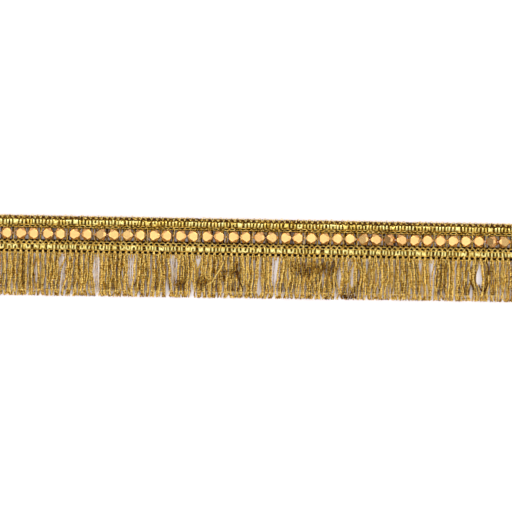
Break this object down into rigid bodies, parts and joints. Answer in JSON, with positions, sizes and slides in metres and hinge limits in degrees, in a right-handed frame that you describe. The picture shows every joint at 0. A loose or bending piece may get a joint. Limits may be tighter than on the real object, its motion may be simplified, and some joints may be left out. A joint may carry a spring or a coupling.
{
  "type": "metallic hanging lace trim",
  "caption": "Gold knitted trim with crimped foil braids, a row of faceted beads and a cut cord fringe, sewn along a hem or edge as an ornament.",
  "frame": {"origin": "centre of the trim's footprint, on the surface that it lies on, which is its sewing side", "axes": "+X along the trim to the right, +Y to the picot edge with the fringe towards -Y, +Z out of the face side"},
  "size_m": [0.28, 0.0398, 0.007],
  "materials": {
    "knit_ground": "knitted metallic gold thread, dark between the loops",
    "foil_braid": "crimped braid of shiny metallised film",
    "bead_thread": "pale twisted thread",
    "fringe_cord": "twisted two-ply metallic cord, glittering",
    "plated_bead": "metallised pale gold, polished facets"
  },
  "bodies": {
    "root": {"header_ground": "knit_ground", "foil_braid_upper": "foil_braid", "foil_braid_lower": "foil_braid", "bead_string": "bead_thread", "fringe": "fringe_cord", "bead_01": "plated_bead", "bead_02": "plated_bead", "bead_03": "plated_bead", "bead_04": "plated_bead", "bead_05": "plated_bead", "bead_06": "plated_bead", "bead_07": "plated_bead", "bead_08": "plated_bead", "bead_09": "plated_bead", "bead_10": "plated_bead", "bead_11": "plated_bead", "bead_12": "plated_bead", "bead_13": "plated_bead", "bead_14": "plated_bead", "bead_15": "plated_bead", "bead_16": "plated_bead", "bead_17": "plated_bead", "bead_18": "plated_bead", "bead_19": "plated_bead", "bead_20": "plated_bead", "bead_21": "plated_bead", "bead_22": "plated_bead", "bead_23": "plated_bead", "bead_24": "plated_bead", "bead_25": "plated_bead", "bead_26": "plated_bead", "bead_27": "plated_bead", "bead_28": "plated_bead", "bead_29": "plated_bead", "bead_30": "plated_bead", "bead_31": "plated_bead", "bead_32": "plated_bead", "bead_33": "plated_bead", "bead_34": "plated_bead", "bead_35": "plated_bead", "bead_36": "plated_bead", "bead_37": "plated_bead", "bead_38": "plated_bead", "bead_39": "plated_bead", "bead_40": "plated_bead", "bead_41": "plated_bead"}
  },
  "joints": []
}
